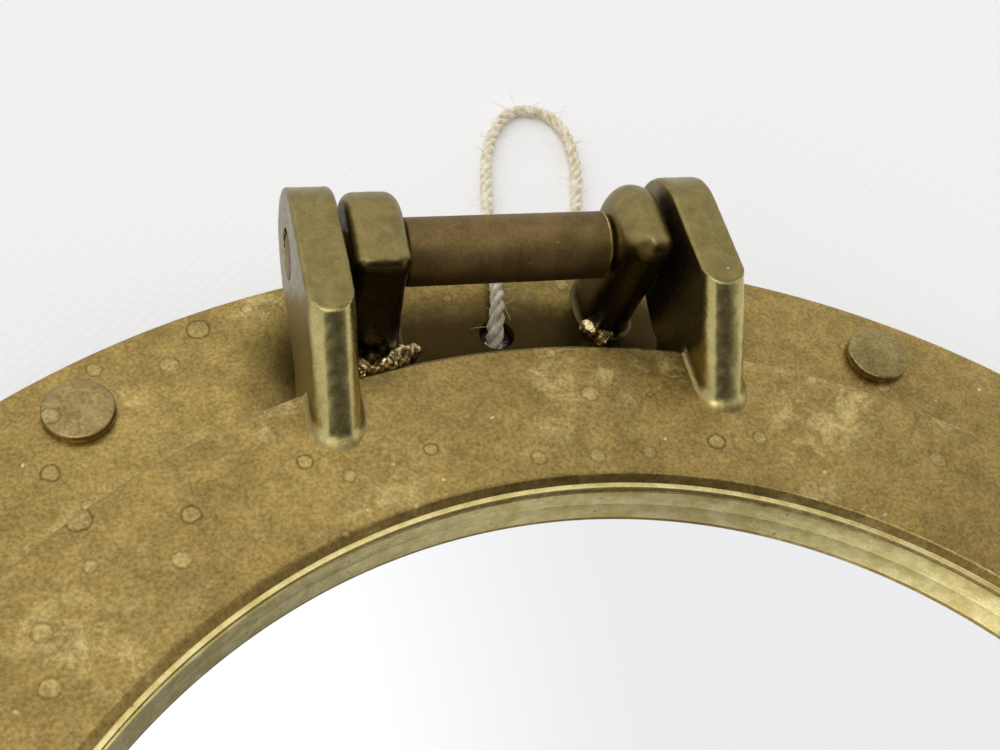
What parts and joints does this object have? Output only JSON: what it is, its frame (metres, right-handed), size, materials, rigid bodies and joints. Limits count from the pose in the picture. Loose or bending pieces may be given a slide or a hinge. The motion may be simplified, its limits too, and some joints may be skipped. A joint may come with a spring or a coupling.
{
  "type": "porthole mirror",
  "caption": "Round brass porthole mirror: riveted flange ring, hinged door ring that holds the mirror, hinge with pin and spacer tube, swing bolts with wing nuts, string loop to hang it by.",
  "frame": {"origin": "on the rings' common axis, at the rear edge of the spigot ring, which stands on the surface", "axes": "+Z out of the mirror, away from the surface behind it; +Y towards the hinge; +X across, along the hinge pin to within 1.5 degrees"},
  "size_m": [0.316, 0.3554, 0.0486],
  "materials": {
    "aged_brass": "aged, mottled and water-spotted, satin",
    "door_brass": "aged, satin, polished at the edges",
    "polished_brass": "worn bright, lightly tarnished",
    "dark_bronze": "dark brown patina with turning marks",
    "mirror": "silvered glass",
    "hardboard": "matt pressed fibre board",
    "gasket_rubber": "matt black",
    "twine": "twisted natural fibre"
  },
  "bodies": {
    "frame": {"flange_plate": "aged_brass", "spigot_ring": "aged_brass", "hinge_knuckle_left": "aged_brass", "hinge_knuckle_right": "aged_brass", "flange_rivet_1": "aged_brass", "flange_rivet_2": "aged_brass", "flange_rivet_3": "aged_brass", "flange_rivet_4": "aged_brass", "flange_rivet_5": "aged_brass", "flange_rivet_6": "aged_brass", "dog_clevis_left": "aged_brass", "dog_clevis_right": "aged_brass", "dog_pin_left": "dark_bronze", "dog_pin_right": "dark_bronze", "hanging_string": "twine", "string_knot": "twine"},
    "door": {"door_ring": "door_brass", "hinge_pin": "dark_bronze", "door_gasket": "gasket_rubber", "mirror_glass": "mirror", "mirror_backing": "hardboard", "glass_retaining_ring": "polished_brass", "retaining_screw_1": "polished_brass", "retaining_screw_2": "polished_brass", "retaining_screw_3": "polished_brass", "retaining_screw_4": "polished_brass", "retaining_screw_5": "polished_brass", "retaining_screw_6": "polished_brass", "door_ear_left": "door_brass", "door_ear_right": "door_brass"},
    "hinge_tube": {"hinge_spacer_tube": "dark_bronze"},
    "dog_left": {"dog_bolt_left": "polished_brass"},
    "washer_left": {"dog_washer_left": "polished_brass"},
    "nut_left": {"dog_nut_left": "polished_brass"},
    "dog_right": {"dog_bolt_right": "polished_brass"},
    "washer_right": {"dog_washer_right": "polished_brass"},
    "nut_right": {"dog_nut_right": "polished_brass"}
  },
  "joints": [
    {"name": "door_hinge", "type": "hinge", "parent": "frame", "child": "door", "pos_m": [0.0003, 0.1342, 0.0378], "axis": [-0.9997, 0.0262, 0], "range_deg": [0, 180]},
    {"name": "hinge_tube_turn", "type": "hinge", "parent": "frame", "child": "hinge_tube", "pos_m": [0.0003, 0.1342, 0.0378], "axis": [0.9997, -0.0262, 0], "continuous": true},
    {"name": "dog_swing_left", "type": "hinge", "parent": "frame", "child": "dog_left", "pos_m": [-0.11821, -0.06825, 0.0265], "axis": [-0.5, 0.866, 0], "range_deg": [0, 90]},
    {"name": "nut_travel_left", "type": "slide", "parent": "dog_left", "child": "washer_left", "axis": [-0.866, -0.5, 0], "range_m": [-0.0057, 0.006]},
    {"name": "nut_turn_left", "type": "hinge", "parent": "washer_left", "child": "nut_left", "pos_m": [-0.13934, -0.08045, 0.0265], "axis": [-0.866, -0.5, 0], "range_deg": [-1640, 1725]},
    {"name": "dog_swing_right", "type": "hinge", "parent": "frame", "child": "dog_right", "pos_m": [0.11821, -0.06825, 0.0265], "axis": [-0.5, -0.866, 0], "range_deg": [0, 90]},
    {"name": "nut_travel_right", "type": "slide", "parent": "dog_right", "child": "washer_right", "axis": [0.866, -0.5, 0], "range_m": [-0.0057, 0.006]},
    {"name": "nut_turn_right", "type": "hinge", "parent": "washer_right", "child": "nut_right", "pos_m": [0.13934, -0.08045, 0.0265], "axis": [0.866, -0.5, 0], "range_deg": [-1640, 1725]}
  ],
  "couplings": [
    {"joint": "nut_travel_left", "follows": "nut_turn_left", "m_per_rad": 0.00019894},
    {"joint": "nut_travel_right", "follows": "nut_turn_right", "m_per_rad": 0.00019894}
  ]
}
